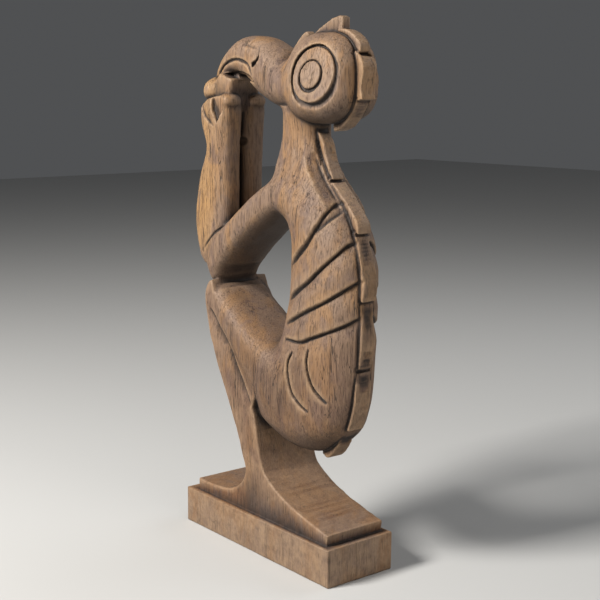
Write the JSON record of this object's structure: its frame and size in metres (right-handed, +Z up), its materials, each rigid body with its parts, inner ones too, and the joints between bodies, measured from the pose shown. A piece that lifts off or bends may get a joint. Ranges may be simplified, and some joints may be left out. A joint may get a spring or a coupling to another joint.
{
  "type": "carved statue",
  "caption": "Crouching bird-headed man with a ringed eye and a hooked beak over cupped hands, carved in wood with its stepped plinth.",
  "frame": {"origin": "centre of the plinth's underside", "axes": "+Z up; -Y the way the figure faces; +X to the figure's left"},
  "size_m": [0.065, 0.201, 0.42],
  "materials": {
    "wood": "hand-worn, dull satin, darker in the cuts"
  },
  "bodies": {
    "root": {"birdman_figure": "wood"}
  },
  "joints": []
}
